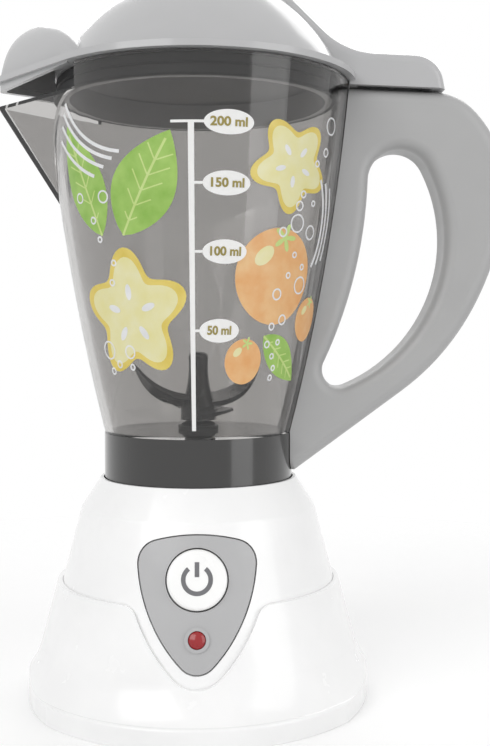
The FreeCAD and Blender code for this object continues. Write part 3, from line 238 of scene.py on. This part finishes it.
def smoky_clear(name, color, shadow_color):
    """Smoky see-through plastic with slight waviness and faint hairlines."""
    material, tree, shader, coordinates = new_material(name)
    shader.inputs["Base Color"].default_value = color
    shader.inputs["Transmission Weight"].default_value = 1.0
    shader.inputs["IOR"].default_value = CLEAR_IOR
    hairlines = noise(tree, coordinates, HAIRLINE_SCALE, detail=6.0, stretch=HAIRLINE_STRETCH)
    varied = spread(tree, hairlines, *HAIRLINE_ROUGHNESS, *HAIRLINE_RANGE)
    tree.links.new(varied, shader.inputs["Roughness"])
    add_bump(tree, shader, noise(tree, coordinates, WAVE_SCALE, detail=1.0), *WAVE_RELIEF)
    path = tree.nodes.new("ShaderNodeLightPath")
    clear = tree.nodes.new("ShaderNodeBsdfTransparent")
    clear.inputs["Color"].default_value = shadow_color
    mixer = tree.nodes.new("ShaderNodeMixShader")
    tree.links.new(path.outputs["Is Shadow Ray"], mixer.inputs["Fac"])
    tree.links.new(shader.outputs["BSDF"], mixer.inputs[1])
    tree.links.new(clear.outputs["BSDF"], mixer.inputs[2])
    tree.links.new(mixer.outputs["Shader"], tree.nodes["Material Output"].inputs["Surface"])
    return material


def ink(name, color, second, cover=1.0, scale=220.0, roughness=0.28):
    """Printed ink: two near tones with a soft gloss; some light comes through from behind."""
    material, tree, shader, coordinates = new_material(name)
    mottle = noise(tree, coordinates, scale, detail=4.0)
    mixed = blend_colors(tree, spread(tree, mottle, 0.0, 1.0), shade(color, 1.0), shade(second, 1.0))
    tree.links.new(mixed, shader.inputs["Base Color"])
    shader.inputs["Roughness"].default_value = roughness
    shader.inputs["Alpha"].default_value = cover
    add_bump(tree, shader, noise(tree, coordinates, INK_GRAIN_SCALE), *INK_RELIEF)
    through = tree.nodes.new("ShaderNodeBsdfTranslucent")
    tree.links.new(mixed, through.inputs["Color"])
    mixer = tree.nodes.new("ShaderNodeMixShader")
    mixer.inputs["Fac"].default_value = INK_TRANSLUCENCY
    tree.links.new(shader.outputs["BSDF"], mixer.inputs[1])
    tree.links.new(through.outputs["BSDF"], mixer.inputs[2])
    tree.links.new(mixer.outputs["Shader"], tree.nodes["Material Output"].inputs["Surface"])
    return material


def slot_materials():
    """One material for each material slot of the record."""
    upright = (1.0, 1.0, 0.05)
    return {
        "white_shell": moulded("white_shell", (0.93, 0.93, 0.93), 0.24, 0.35, grain_depth=0.008),
        "white_inner": moulded("white_inner", (0.85, 0.85, 0.84), 0.45),
        "panel_grey": moulded("panel_grey", (0.45, 0.45, 0.455), 0.38, 0.1),
        "button_white": moulded("button_white", (0.95, 0.95, 0.94), 0.26, 0.3, grain_depth=0.008),
        "black_plastic": moulded("black_plastic", (0.035, 0.035, 0.037), 0.4),
        "board_green": moulded("board_green", (0.03, 0.22, 0.09), 0.35, 0.3, grain=700.0),
        "steel": brushed("steel", (0.62, 0.62, 0.63), 0.28, upright),
        "steel_can": brushed("steel_can", (0.58, 0.58, 0.58), 0.32, upright),
        "spring_steel": brushed("spring_steel", (0.70, 0.69, 0.66), 0.22, (0.05, 1.0, 1.0)),
        "red_led": moulded("red_led", (0.62, 0.02, 0.015), 0.18, 0.5),
        "red_lens": moulded("red_lens", (0.32, 0.004, 0.008), 0.14, 0.35, grain=2600.0, tone=0.12),
        "cell_jacket": moulded("cell_jacket", (0.17, 0.19, 0.21), 0.25, 0.4),
        "smoky_clear": smoky_clear("smoky_clear", (0.52, 0.51, 0.50, 1.0), (0.92, 0.918, 0.915, 1.0)),
        "collar_dark": moulded("collar_dark", (0.027, 0.0265, 0.026), 0.16, 0.4, grain_depth=0.006),
        "handle_grey": moulded("handle_grey", (0.40, 0.40, 0.40), 0.42, 0.0, grain=2200.0),
        "seal_rubber": moulded("seal_rubber", (0.014, 0.014, 0.015), 0.6, grain=900.0),
        "blade_dark": moulded("blade_dark", (0.045, 0.045, 0.047), 0.25, 0.3),
        "lid_grey": moulded("lid_grey", (0.455, 0.455, 0.46), 0.23, 0.28, grain_depth=0.006),
    }


def dress_cad_nodes(materials):
    """Gives every CAD node the material of its slot."""
    for part in frame["record"]["subparts"]:
        node = frame["nodes"][part["node"]]
        node.data.materials.clear()
        node.data.materials.append(materials[part["material_slot"]])


def surface_of(node_name):
    """Ray-cast tree of a CAD node at rest."""
    mesh = frame["nodes"][node_name].data
    corners = [vertex.co.copy() for vertex in mesh.vertices]
    faces = [tuple(polygon.vertices) for polygon in mesh.polygons]
    return BVHTree.FromPolygons(corners, faces)


def wall_place(tree):
    """Function that puts (along, height, lift) in millimetres onto the jug's outside."""
    def place(along, height, lift):
        angle = along / WALL_REFERENCE_RADIUS
        outward = Vector((math.sin(angle), -math.cos(angle), 0.0))
        start = outward * WALL_CAST_START * MM + Vector((0.0, 0.0, height * MM))
        hit = tree.ray_cast(start, -outward)[0]
        return hit + outward * lift * MM
    return place


def button_place(tree, outward):
    """Function that puts (across, up, lift) in millimetres onto the button's face."""
    mesh = frame["nodes"]["power_button"].data
    top = max(vertex.co.dot(outward) for vertex in mesh.vertices)
    depth = BUTTON_CROWN_DEPTH * MM
    crown = [vertex.co for vertex in mesh.vertices if top - vertex.co.dot(outward) < depth]
    centre = sum(crown, Vector()) / len(crown)
    across = Vector((1.0, 0.0, 0.0))
    upward = outward.cross(across)
    if upward.z < 0:
        upward.negate()

    def place(along, height, lift):
        start = centre + across * along * MM + upward * height * MM
        start += outward * BUTTON_CAST_START * MM
        hit = tree.ray_cast(start, -outward)[0]
        return hit + outward * lift * MM
    return place


def make_piece(name, vertices, faces, material, body):
    """Mesh object from vertices and faces that rides on a body."""
    mesh = bpy.data.meshes.new(name)
    mesh.from_pydata([tuple(vertex) for vertex in vertices], [], faces)
    mesh.validate()
    for polygon in mesh.polygons:
        polygon.use_smooth = False
    mesh.materials.append(material)
    piece = bpy.data.objects.new(name, mesh)
    bpy.context.scene.collection.objects.link(piece)
    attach(piece, body)


class Sheet:
    """Collects thin closed slabs that lie on a surface, all of one ink."""

    def __init__(self, name, place, material, body, lift):
        self.name = name
        self.place = place
        self.material = material
        self.body = body
        self.lift = lift
        self.vertices = []
        self.faces = []

    def layers(self, points):
        """Adds each point twice, low and high, and returns the first new index."""
        first = len(self.vertices)
        for along, height in points:
            self.vertices.append(self.place(along, height, self.lift))
            self.vertices.append(self.place(along, height, self.lift + INK_THICKNESS))
        return first

    def quad(self, first, a, b, c, d):
        """Top and bottom face between four points."""
        self.faces.append(tuple(first + 2 * index + 1 for index in (a, b, c, d)))
        self.faces.append(tuple(first + 2 * index for index in (d, c, b, a)))

    def side(self, first, a, b):
        """Rim face below the edge from a to b."""
        self.faces.append((first + 2 * b + 1, first + 2 * a + 1, first + 2 * a, first + 2 * b))

    def fan(self, outline, rings=4):
        """Filled shape round the middle of its outline."""
        count = len(outline)
        middle_u = sum(point[0] for point in outline) / count
        middle_z = sum(point[1] for point in outline) / count
        points = [(middle_u, middle_z)]
        for ring in range(1, rings + 1):
            share = ring / rings
            points += [(middle_u + (u - middle_u) * share, middle_z + (z - middle_z) * share)
                       for u, z in outline]
        first = self.layers(points)
        for index in range(count):
            after = (index + 1) % count
            self.faces.append((first + 1, first + 2 * (1 + index) + 1, first + 2 * (1 + after) + 1))
            self.faces.append((first, first + 2 * (1 + after), first + 2 * (1 + index)))
            for ring in range(rings - 1):
                low = 1 + ring * count
                high = low + count
                self.quad(first, low + index, high + index, high + after, low + after)
            edge = 1 + (rings - 1) * count
            self.side(first, edge + index, edge + after)

    def band(self, line, half_width, closed=False):
        """Stroke of even width along a line of points."""
        count = len(line)
        points = []
        for index, (u, z) in enumerate(line):
            before = line[index - 1] if index or closed else line[index]
            after = line[(index + 1) % count] if index < count - 1 or closed else line[index]
            run_u = after[0] - before[0]
            run_z = after[1] - before[1]
            length = math.hypot(run_u, run_z)
            step_u = -run_z / length * half_width
            step_z = run_u / length * half_width
            points += [(u + step_u, z + step_z), (u - step_u, z - step_z)]
        first = self.layers(points)
        spans = count if closed else count - 1
        for index in range(spans):
            a = 2 * index
            b = 2 * ((index + 1) % count)
            self.quad(first, a, a + 1, b + 1, b)
            self.side(first, b, a)
            self.side(first, a + 1, b + 1)
        if not closed:
            self.side(first, 0, 1)
            self.side(first, 2 * count - 1, 2 * count - 2)

    def finish(self):
        """Makes the piece from what was collected."""
        make_piece(self.name, self.vertices, self.faces, self.material, self.body)


def ellipse(u, z, half_u, half_z, count=48, turn=0.0):
    """Points round an ellipse, turned by an angle."""
    points = []
    for index in range(count):
        angle = 2 * math.pi * index / count
        x = half_u * math.cos(angle)
        y = half_z * math.sin(angle)
        points.append((u + x * math.cos(turn) - y * math.sin(turn),
                       z + x * math.sin(turn) + y * math.cos(turn)))
    return points


def lobed(u, z, radius, lobes, depth, count=90, turn=0.0):
    """Points round a star with soft lobes."""
    points = []
    for index in range(count):
        angle = 2 * math.pi * index / count
        reach = radius * (1 - depth + depth * math.cos(lobes * angle))
        points.append((u + reach * math.cos(angle + turn), z + reach * math.sin(angle + turn)))
    return points


def leaf(base, tip, half_width, count=20):
    """Points round a leaf from its base to its tip."""
    run_u = tip[0] - base[0]
    run_z = tip[1] - base[1]
    length = math.hypot(run_u, run_z)
    there = []
    back = []
    for index in range(count + 1):
        share = index / count
        fullness = math.sin(math.pi * share ** LEAF_SKEW) ** LEAF_FULLNESS if 0 < index < count else 0.0
        width = half_width * fullness
        u = base[0] + run_u * share
        z = base[1] + run_z * share
        there.append((u - run_z / length * width, z + run_u / length * width))
        back.append((u + run_z / length * width, z - run_u / length * width))
    return there + back[-2:0:-1]


def straight(start, end, count=12):
    """Evenly spaced points on a straight line."""
    return [(start[0] + (end[0] - start[0]) * index / (count - 1),
             start[1] + (end[1] - start[1]) * index / (count - 1)) for index in range(count)]


def make_scale(place, white, gold):
    """Measuring scale: a line with a bar on top, ovals with their volumes and short ticks."""
    scale = Sheet("scale_print", place, white, "jug", SCALE_LIFT)
    top = SCALE_MARKS[0][2]
    line_top = (SCALE_LINE_U, top + SCALE_BAR_HEIGHT / 2)
    scale.band(straight((SCALE_LINE_U, SCALE_LINE_FOOT), line_top, 40), SCALE_LINE_WIDTH / 2)
    for edge, end in zip((-1, 1), SCALE_BAR):
        start = SCALE_LINE_U + edge * SCALE_LINE_WIDTH / 2
        scale.band(straight((start, top), (end, top), 6), SCALE_BAR_HEIGHT / 2)
    for _, middle, height in SCALE_MARKS:
        scale.fan(ellipse(middle, height, OVAL_HALF_WIDTH, OVAL_HALF_HEIGHT), 5)
        if height < top:
            tick_start = SCALE_LINE_U + SCALE_LINE_WIDTH / 2
            scale.band(straight((tick_start, height), (middle - OVAL_HALF_WIDTH, height), 4),
                       SCALE_BAR_HEIGHT / 2)
    scale.finish()
    for label, middle, height in SCALE_MARKS:
        make_label(label, middle, height, place, gold)


def make_label(label, middle, height, place, material):
    """Volume figure in an oval, laid on the wall."""
    curve = bpy.data.curves.new("figure", "FONT")
    curve.body = label
    curve.size = TEXT_SIZE
    curve.align_x = "CENTER"
    curve.align_y = "CENTER"
    curve.offset = LETTER_WEIGHT
    curve.extrude = INK_THICKNESS
    holder = bpy.data.objects.new("figure", curve)
    flat = bpy.data.meshes.new_from_object(holder)
    bpy.data.objects.remove(holder)
    vertices = [place(middle + vertex.co.x, height + vertex.co.y, TEXT_LIFT + vertex.co.z)
                for vertex in flat.vertices]
    faces = [tuple(polygon.vertices) for polygon in flat.polygons]
    make_piece("figure_" + label.split()[0], vertices, faces, material, "jug")


def arc(u, z, radius, start, end, count=40):
    """Points along part of a circle, from one angle in degrees to another."""
    points = []
    for index in range(count):
        angle = math.radians(start + (end - start) * index / (count - 1))
        points.append((u + radius * math.cos(angle), z + radius * math.sin(angle)))
    return points


def draw_slice(rind, flesh, seeds, u, z, radius, turn):
    """Star-shaped slice with a rind; returns the places of its seeds."""
    rind.fan(lobed(u, z, radius, SLICE_LOBES, RIND_DEPTH, turn=turn), 7)
    flesh.fan(lobed(u, z, radius * FLESH_SHARE, SLICE_LOBES, FLESH_DEPTH, turn=turn), 6)
    places = []
    reach = radius * SEED_PLACE_SHARE
    for index in range(SLICE_LOBES):
        angle = turn + 2 * math.pi * index / SLICE_LOBES
        seed = (u + reach * math.cos(angle), z + reach * math.sin(angle), radius * SEED_SHARE)
        seeds.fan(ellipse(seed[0], seed[1], seed[2], seed[2] * SEED_SLIMNESS, 20, angle), 2)
        places.append(seed)
    return places


def draw_leaf(blade, veins, base, tip, half_width):
    """Leaf with a rib and side veins."""
    blade.fan(leaf(base, tip, half_width), 6)
    run_u = tip[0] - base[0]
    run_z = tip[1] - base[1]
    rib_end = (base[0] + run_u * RIB_SHARE, base[1] + run_z * RIB_SHARE)
    veins.band(straight(base, rib_end, 16), RIB_HALF_WIDTH)
    for index in range(1, VEIN_PAIRS + 1):
        share = index / (VEIN_PAIRS + 2)
        root = (base[0] + run_u * share, base[1] + run_z * share)
        reach = half_width * math.sin(math.pi * share) * VEIN_REACH
        for side in (-1, 1):
            heading = math.atan2(run_z, run_u) + side * VEIN_TURN
            step_u = math.cos(heading)
            step_z = math.sin(heading)
            start = (root[0] + VEIN_START * step_u, root[1] + VEIN_START * step_z)
            end = (root[0] + reach * step_u, root[1] + reach * step_z)
            veins.band(straight(start, end, 5), VEIN_HALF_WIDTH)


def draw_berry(skin, gleam, crown, u, z, radius):
    """Round berry with a gleam and a small leafy crown."""
    skin.fan(ellipse(u, z, radius, radius, 60), 7)
    gleam_u = u + radius * GLEAM_PLACE[0]
    gleam_z = z + radius * GLEAM_PLACE[1]
    gleam.fan(ellipse(gleam_u, gleam_z, radius * GLEAM_SIZE[0], radius * GLEAM_SIZE[1],
                      20, GLEAM_TURN), 2)
    crown_u = u + radius * CROWN_PLACE[0]
    crown_z = z + radius * CROWN_PLACE[1]
    crown.fan(lobed(crown_u, crown_z, radius * CROWN_SHARE, CROWN_LOBES, CROWN_DEPTH, 40), 2)


def draw_streaks(foam, u, z, radii, start, end):
    """Set of curved streaks, each shorter than the one inside it; returns their points."""
    taken = []
    for index, radius in enumerate(radii):
        line = arc(u, z, radius, start + STREAK_STEP * index, end - STREAK_STEP * index)
        foam.band(line, STREAK_WIDTH / 2)
        taken += [(point[0], point[1], STREAK_WIDTH) for point in line]
    return taken


def between(pair, share):
    """Value at a share of the way from the first to the second of a pair."""
    return pair[0] + (pair[1] - pair[0]) * share


def draw_bubbles(foam, taken):
    """Ring bubbles at both sides, clear of what is already there."""
    seeded = random.Random(7)
    for index in range(BUBBLE_TRIES):
        side = -1 if index % 2 else 1
        rise = seeded.random()
        outward = between(BUBBLE_OUTWARD, seeded.random())
        u = side * outward * between((BUBBLE_FOOT_SHARE, 1.0), rise)
        z = between(BUBBLE_HEIGHTS, rise)
        radius = between(BUBBLE_RADII, seeded.random() ** 2)
        room = radius + BUBBLE_SPACING
        if all(math.hypot(u - other[0], z - other[1]) > room + other[2] for other in taken):
            taken.append((u, z, radius))
            foam.band(ellipse(u, z, radius, radius, 28), BUBBLE_STROKE / 2, True)


def make_art(place):
    """Generic print of star-shaped slices, leaves, berries, streaks and bubbles."""
    def layer(name, color, second, cover, step):
        material = ink(name, color, second, cover)
        return Sheet(name, place, material, "jug", ART_LIFT + step * LAYER_STEP)

    green = layer("print_green", (0.34, 0.60, 0.11), (0.50, 0.74, 0.20), 0.82, 0)
    yellow = layer("print_yellow", (0.82, 0.66, 0.13), (0.92, 0.78, 0.24), 0.82, 0)
    orange = layer("print_orange", (0.90, 0.50, 0.20), (0.95, 0.66, 0.34), 0.82, 0)
    pale = layer("print_pale", (0.92, 0.88, 0.46), (0.95, 0.93, 0.64), 0.80, 1)
    lime = layer("print_lime", (0.62, 0.78, 0.26), (0.72, 0.86, 0.38), 0.90, 1)
    foam = layer("print_foam", (0.86, 0.87, 0.88), (0.95, 0.95, 0.96), 0.90, 2)
    taken = []
    for u, z, radius, turn in SLICES:
        taken += draw_slice(yellow, pale, foam, u, z, radius, turn)
    for base, tip, half_width in LEAVES:
        draw_leaf(green, lime, base, tip, half_width)
    for u, z, radius in BERRIES:
        draw_berry(orange, pale, lime, u, z, radius)
    for u, z, radii, start, end in STREAKS:
        taken += draw_streaks(foam, u, z, radii, start, end)
    draw_bubbles(foam, taken)
    for sheet in (green, yellow, orange, pale, lime, foam):
        sheet.finish()


def make_power_symbol(material):
    """Open ring with a bar on the button's face."""
    joint = next(joint for joint in frame["joints"] if joint["name"] == "button_press")
    outward = -Vector(joint["axis"]).normalized()
    place = button_place(surface_of("power_button"), outward)
    symbol = Sheet("power_symbol", place, material, "button", SYMBOL_LIFT)
    ring = arc(0.0, 0.0, SYMBOL_RADIUS, 90 + SYMBOL_OPENING, 450 - SYMBOL_OPENING, SYMBOL_POINTS)
    symbol.band(ring, SYMBOL_STROKE / 2)
    symbol.band(straight((0.0, SYMBOL_BAR_LOW), (0.0, SYMBOL_BAR_HIGH), 8), SYMBOL_STROKE / 2)
    symbol.finish()


def seen_directly(tree):
    """1 for rays that show the surroundings: camera, glossy and transmitted ones."""
    path = tree.nodes.new("ShaderNodeLightPath")
    pair = tree.nodes.new("ShaderNodeMath")
    pair.operation = "MAXIMUM"
    tree.links.new(path.outputs["Is Camera Ray"], pair.inputs[0])
    tree.links.new(path.outputs["Is Glossy Ray"], pair.inputs[1])
    every = tree.nodes.new("ShaderNodeMath")
    every.operation = "MAXIMUM"
    tree.links.new(pair.outputs["Value"], every.inputs[0])
    tree.links.new(path.outputs["Is Transmission Ray"], every.inputs[1])
    return every.outputs["Value"]


def make_world():
    """White surroundings that light the object at a plain level."""
    world = bpy.data.worlds.new("surroundings")
    bpy.context.scene.world = world
    world.use_nodes = True
    tree = world.node_tree
    background = tree.nodes["Background"]
    background.inputs["Color"].default_value = (1.0, 1.0, 1.0, 1.0)
    level = tree.nodes.new("ShaderNodeMapRange")
    level.inputs["To Min"].default_value = WORLD_LEVEL
    level.inputs["To Max"].default_value = 1.0
    tree.links.new(seen_directly(tree), level.inputs["Value"])
    tree.links.new(level.outputs["Result"], background.inputs["Strength"])


def make_floor():
    """Pale round floor that fades out into the surroundings and keeps the shadow."""
    vertices = [(0.0, 0.0, -FLOOR_DROP)]
    for ring in range(1, FLOOR_RINGS + 1):
        radius = FLOOR_RADIUS * ring / FLOOR_RINGS
        for index in range(FLOOR_SIDES):
            angle = 2 * math.pi * index / FLOOR_SIDES
            vertices.append((radius * math.cos(angle), radius * math.sin(angle), -FLOOR_DROP))
    faces = [(0, 1 + index, 1 + (index + 1) % FLOOR_SIDES) for index in range(FLOOR_SIDES)]
    for ring in range(FLOOR_RINGS - 1):
        low = 1 + ring * FLOOR_SIDES
        high = low + FLOOR_SIDES
        for index in range(FLOOR_SIDES):
            after = (index + 1) % FLOOR_SIDES
            faces.append((low + index, high + index, high + after, low + after))
    mesh = bpy.data.meshes.new("floor")
    mesh.from_pydata(vertices, [], faces)
    floor = bpy.data.objects.new("floor", mesh)
    bpy.context.scene.collection.objects.link(floor)
    mesh.materials.append(floor_material())


def floor_material():
    """Pale matt floor that turns see-through with distance."""
    material, tree, shader, coordinates = new_material("floor")
    shader.inputs["Base Color"].default_value = FLOOR_COLOR
    shader.inputs["Roughness"].default_value = FLOOR_ROUGHNESS
    shader.inputs["Specular IOR Level"].default_value = 0.0
    shader.inputs["Emission Color"].default_value = (1.0, 1.0, 1.0, 1.0)
    glow = tree.nodes.new("ShaderNodeMath")
    glow.operation = "MULTIPLY"
    glow.inputs[1].default_value = FLOOR_GLOW
    tree.links.new(seen_directly(tree), glow.inputs[0])
    tree.links.new(glow.outputs["Value"], shader.inputs["Emission Strength"])
    distance = tree.nodes.new("ShaderNodeVectorMath")
    distance.operation = "LENGTH"
    tree.links.new(coordinates, distance.inputs[0])
    fade = tree.nodes.new("ShaderNodeMapRange")
    fade.interpolation_type = "SMOOTHSTEP"
    fade.inputs["From Min"].default_value = FLOOR_FADE[0]
    fade.inputs["From Max"].default_value = FLOOR_FADE[1]
    tree.links.new(distance.outputs["Value"], fade.inputs["Value"])
    clear = tree.nodes.new("ShaderNodeBsdfTransparent")
    mixer = tree.nodes.new("ShaderNodeMixShader")
    tree.links.new(fade.outputs["Result"], mixer.inputs["Fac"])
    tree.links.new(shader.outputs["BSDF"], mixer.inputs[1])
    tree.links.new(clear.outputs["BSDF"], mixer.inputs[2])
    tree.links.new(mixer.outputs["Shader"], tree.nodes["Material Output"].inputs["Surface"])
    return material


def make_lamps():
    """Large soft lamps aimed at the middle of the object."""
    for name, place, size, power in LAMPS:
        lamp = bpy.data.lights.new(name, "AREA")
        lamp.shape = "RECTANGLE"
        lamp.size = size[0]
        lamp.size_y = size[1]
        lamp.energy = power
        holder = bpy.data.objects.new(name, lamp)
        holder.location = place
        aim = Vector(LAMP_TARGET) - Vector(place)
        holder.rotation_euler = aim.to_track_quat("-Z", "Y").to_euler()
        bpy.context.scene.collection.objects.link(holder)


def make_camera():
    """Camera at the photograph's place and angle."""
    camera = bpy.data.cameras.new("camera")
    camera.lens = CAMERA_LENS
    camera.sensor_width = SENSOR_WIDTH
    camera.clip_start = CAMERA_CLIP_START
    holder = bpy.data.objects.new("camera", camera)
    holder.location = CAMERA_PLACE
    holder.rotation_euler = (math.pi / 2 + CAMERA_PITCH, 0.0, CAMERA_YAW)
    bpy.context.scene.collection.objects.link(holder)
    bpy.context.scene.camera = holder


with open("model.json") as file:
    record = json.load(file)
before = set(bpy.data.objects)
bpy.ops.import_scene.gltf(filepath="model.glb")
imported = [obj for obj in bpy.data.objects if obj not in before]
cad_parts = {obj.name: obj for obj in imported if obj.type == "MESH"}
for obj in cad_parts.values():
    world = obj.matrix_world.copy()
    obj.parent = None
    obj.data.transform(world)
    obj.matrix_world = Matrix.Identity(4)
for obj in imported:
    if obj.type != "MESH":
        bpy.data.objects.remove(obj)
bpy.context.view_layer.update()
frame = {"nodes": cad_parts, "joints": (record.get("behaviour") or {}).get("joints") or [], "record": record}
bpy.context.scene.view_settings.view_transform = "Standard"
make_camera()
make_world()
make_floor()
make_lamps()
dress_cad_nodes(slot_materials())
on_wall = wall_place(surface_of("jug"))
make_art(on_wall)
make_scale(on_wall, ink("print_white", (0.94, 0.94, 0.93), (0.97, 0.97, 0.96)),
           ink("print_gold", (0.33, 0.27, 0.07), (0.40, 0.33, 0.10)))
make_power_symbol(ink("print_grey", (0.19, 0.19, 0.20), (0.23, 0.23, 0.24)))
